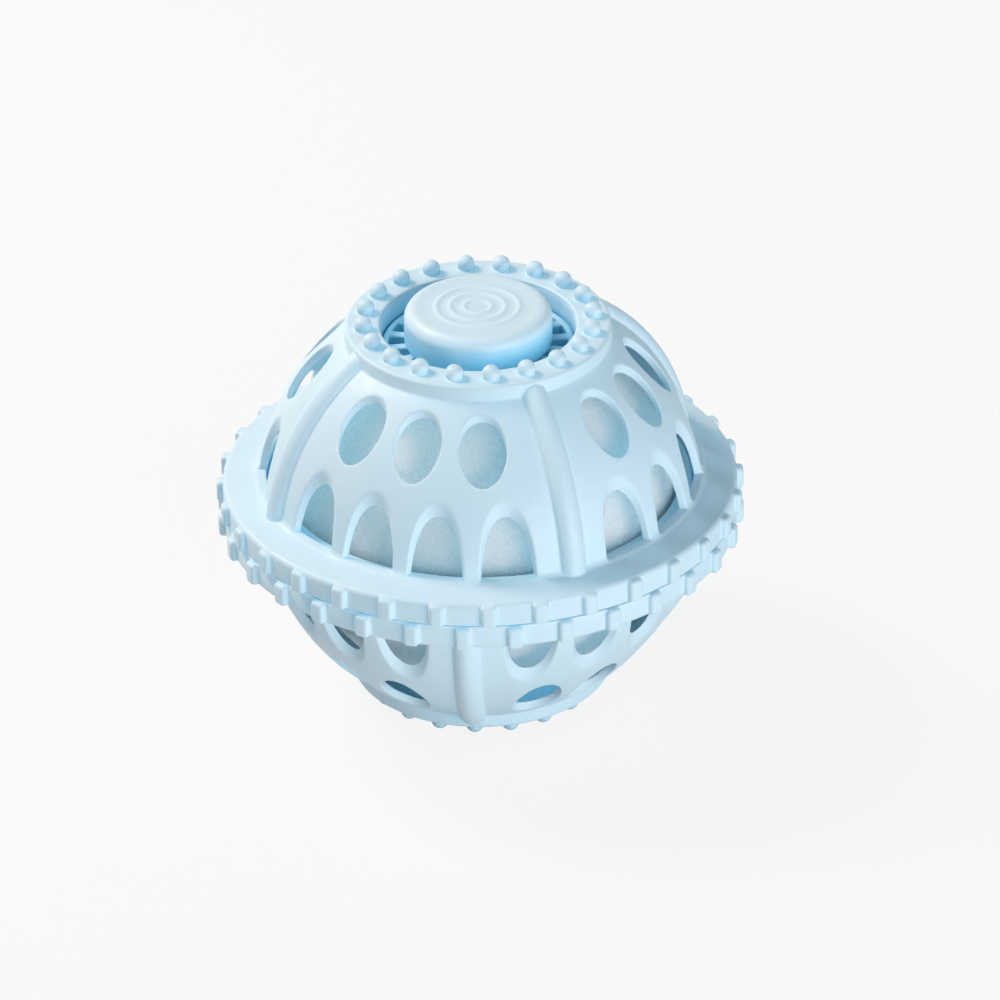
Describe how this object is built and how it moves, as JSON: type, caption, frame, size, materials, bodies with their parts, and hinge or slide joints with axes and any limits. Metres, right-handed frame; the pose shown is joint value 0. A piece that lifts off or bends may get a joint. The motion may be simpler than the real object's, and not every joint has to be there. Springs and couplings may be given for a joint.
{
  "type": "lint catcher ball",
  "caption": "Pale blue caged laundry ball of two twisted half shells with nubbed rims, plug caps in the poles and a foam ball inside, made to tumble in a wash and catch lint.",
  "frame": {"origin": "centre of the ball, on the parting plane of the two halves", "axes": "+Z along the pole axis, towards the upper cap; X and Y in the parting plane, along the ribs of the lower half"},
  "size_m": [0.1, 0.1, 0.0812],
  "materials": {
    "shell_plastic": "fine satin moulded, pale blue",
    "grille_plastic": "fine satin moulded, pale blue",
    "cap_plastic": "fine satin moulded, pale blue",
    "ring_plastic": "satin moulded, pale blue",
    "foam": "white open-cell foam with a grainy skin"
  },
  "bodies": {
    "lower_half": {"lower_shell": "shell_plastic", "lower_grille": "grille_plastic"},
    "coupling": {"coupling_ring": "ring_plastic"},
    "upper_half": {"upper_shell": "shell_plastic", "upper_grille": "grille_plastic"},
    "upper_plug": {"upper_cap": "cap_plastic"},
    "lower_plug": {"lower_cap": "cap_plastic"},
    "core": {"foam_core": "foam"}
  },
  "joints": [
    {"name": "bayonet_twist", "type": "hinge", "parent": "lower_half", "child": "coupling", "pos_m": [0, 0, 0], "axis": [0, 0, 1], "range_deg": [0, 22.5]},
    {"name": "upper_half_lift", "type": "slide", "parent": "coupling", "child": "upper_half", "axis": [0, 0, 1], "range_m": [0, 0.045]},
    {"name": "upper_cap_pull", "type": "slide", "parent": "upper_half", "child": "upper_plug", "axis": [0, 0, 1], "range_m": [0, 0.02]},
    {"name": "lower_cap_pull", "type": "slide", "parent": "lower_half", "child": "lower_plug", "axis": [0, 0, -1], "range_m": [0, 0.02]},
    {"name": "core_spin", "type": "hinge", "parent": "lower_half", "child": "core", "pos_m": [0, 0, 0], "axis": [0, 0, 1], "continuous": true}
  ]
}
